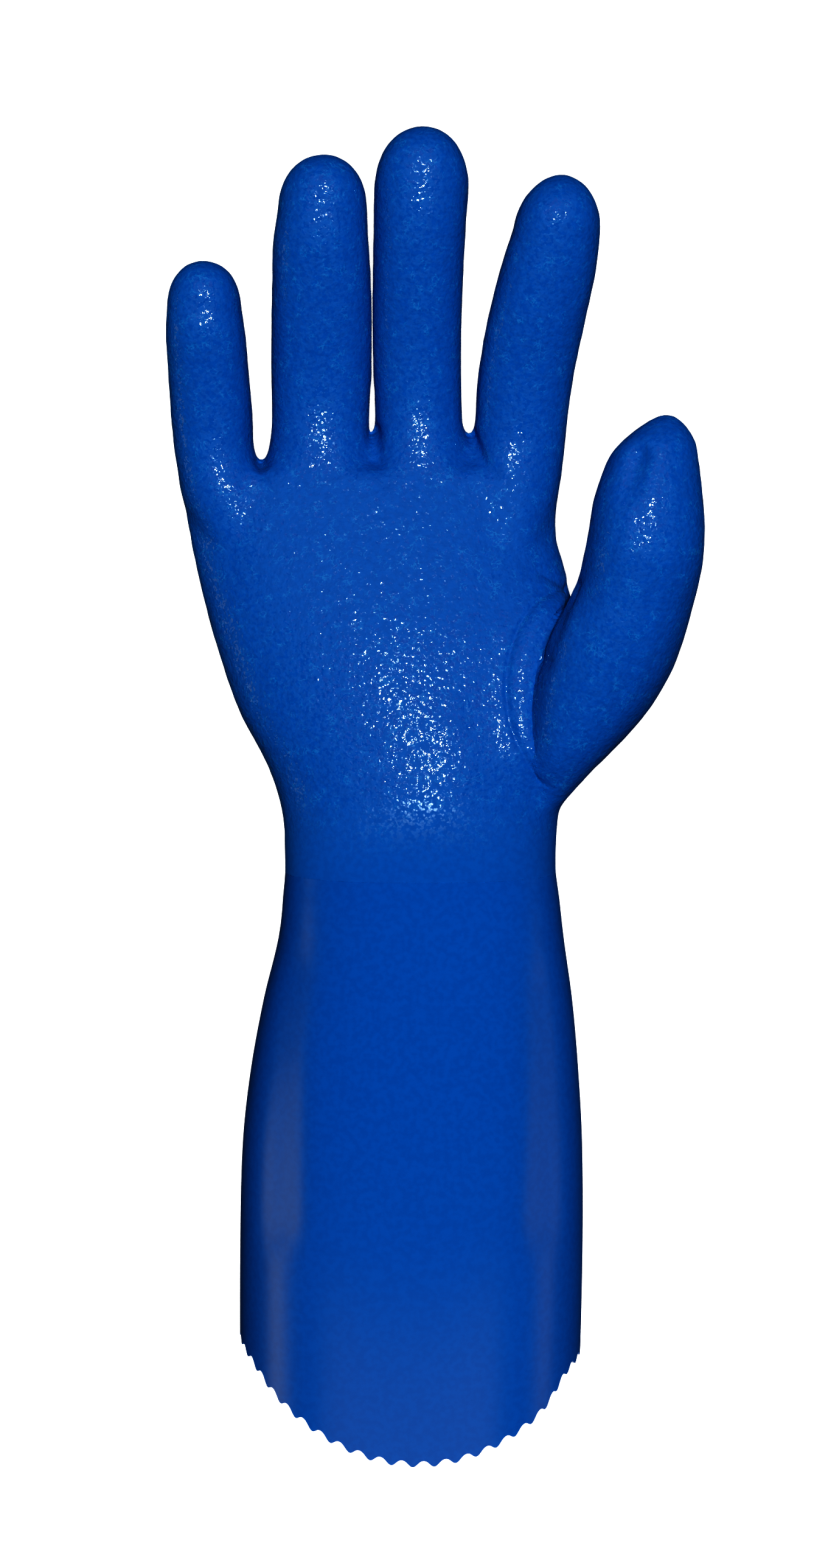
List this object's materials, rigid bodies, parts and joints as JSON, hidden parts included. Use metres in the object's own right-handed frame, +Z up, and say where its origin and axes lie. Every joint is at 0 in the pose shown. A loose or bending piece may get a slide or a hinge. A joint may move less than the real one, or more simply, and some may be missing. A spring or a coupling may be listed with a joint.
{
  "type": "nitrile coated glove",
  "caption": "Long gauntlet work glove for a right hand, hollow, with a rough coated hand, a smooth cuff and a pinked rim, lying palm up.",
  "frame": {"origin": "middle of the glove's bounding box on the surface that it lies on", "axes": "+Z up, out of the palm; +Y from the rim to the fingertips; +X to the thumb's side"},
  "size_m": [0.1444, 0.3556, 0.0699],
  "materials": {
    "rough_nitrile": "wet gloss over a rough grain",
    "smooth_nitrile": "smooth satin"
  },
  "bodies": {
    "root": {"gauntlet": "smooth_nitrile", "hand": "rough_nitrile", "thumb": "rough_nitrile", "index_finger": "rough_nitrile", "middle_finger": "rough_nitrile", "ring_finger": "rough_nitrile", "little_finger": "rough_nitrile"}
  },
  "joints": []
}
